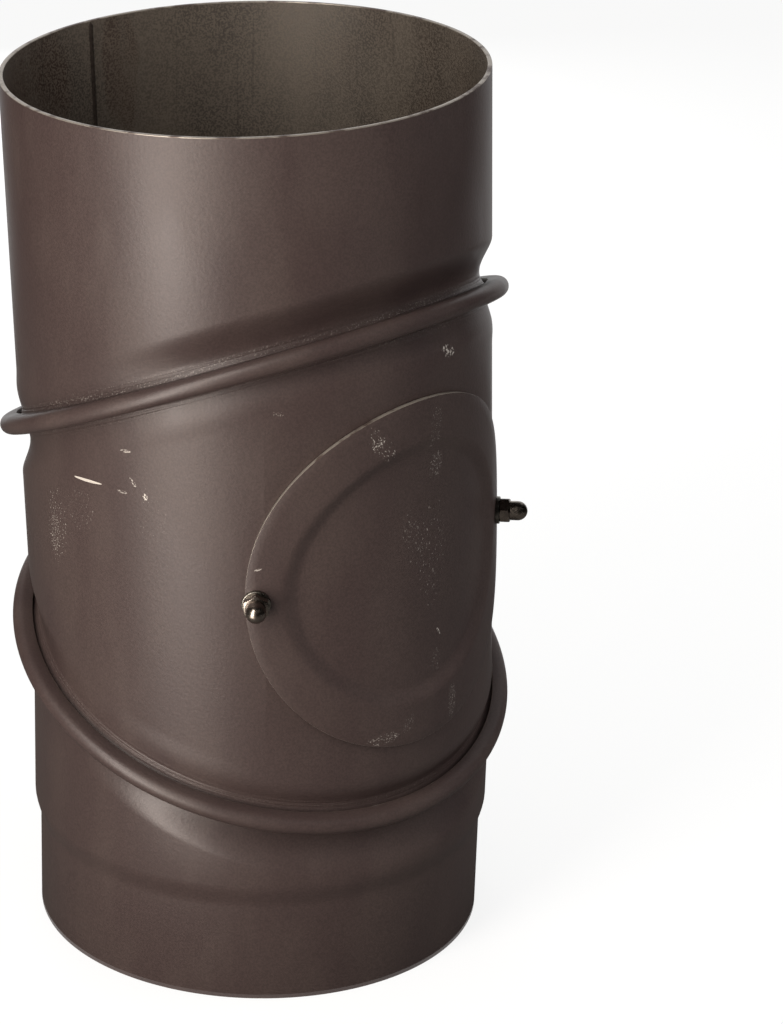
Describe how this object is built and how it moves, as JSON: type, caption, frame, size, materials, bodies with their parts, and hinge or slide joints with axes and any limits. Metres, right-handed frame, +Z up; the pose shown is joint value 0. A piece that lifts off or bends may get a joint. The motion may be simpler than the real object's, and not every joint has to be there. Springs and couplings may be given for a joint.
{
  "type": "stove pipe elbow",
  "caption": "Adjustable sheet-steel stove pipe elbow with slanted beaded swivel joints, a reduced plug-in end and a round cleaning cover under cap nuts; sets from straight to a right angle.",
  "frame": {"origin": "centre of the open lower end of the reduced spigot, on its axis", "axes": "+Z up the bottom section, the cleaning cover faces -Y and the heel of the bend is on its side"},
  "size_m": [0.2332, 0.2103, 0.3959],
  "materials": {
    "stove_paint": "satin",
    "zinc_steel": "satin",
    "nickel_plate": "polished"
  },
  "bodies": {
    "bottom": {"bottom_section": "stove_paint"},
    "middle": {"middle_section": "stove_paint", "cleaning_cover": "stove_paint", "left_stud": "zinc_steel", "right_stud": "zinc_steel"},
    "top": {"top_section": "stove_paint"},
    "left_washer": {"left_washer": "zinc_steel"},
    "right_washer": {"right_washer": "zinc_steel"},
    "left_nut": {"left_cap_nut": "nickel_plate"},
    "right_nut": {"right_cap_nut": "nickel_plate"}
  },
  "joints": [
    {"name": "lower_swivel", "type": "hinge", "parent": "bottom", "child": "middle", "pos_m": [0, 0, 0.124], "axis": [0, -0.3827, 0.9239], "continuous": true},
    {"name": "upper_swivel", "type": "hinge", "parent": "middle", "child": "top", "pos_m": [-0.00783, -0.00054, 0.26228], "axis": [-0.1045, 0.3755, 0.9209], "continuous": true},
    {"name": "left_washer_slide", "type": "slide", "parent": "middle", "child": "left_washer", "axis": [-0.5441, -0.8383, -0.0341], "range_m": [0, 0.007]},
    {"name": "left_nut_turn", "type": "hinge", "parent": "left_washer", "child": "left_nut", "pos_m": [-0.06154, -0.08905, 0.18953], "axis": [-0.5441, -0.8383, -0.0341], "range_deg": [0, 2521]},
    {"name": "right_washer_slide", "type": "slide", "parent": "middle", "child": "right_washer", "axis": [0.7506, -0.6595, 0.04], "range_m": [0, 0.007]},
    {"name": "right_nut_turn", "type": "hinge", "parent": "right_washer", "child": "right_nut", "pos_m": [0.07557, -0.07011, 0.19737], "axis": [0.7506, -0.6595, 0.04], "range_deg": [0, 2521]}
  ],
  "couplings": [
    {"joint": "left_nut_turn", "follows": "left_washer_slide", "rad_per_m": 6283.2},
    {"joint": "right_nut_turn", "follows": "right_washer_slide", "rad_per_m": 6283.2}
  ]
}
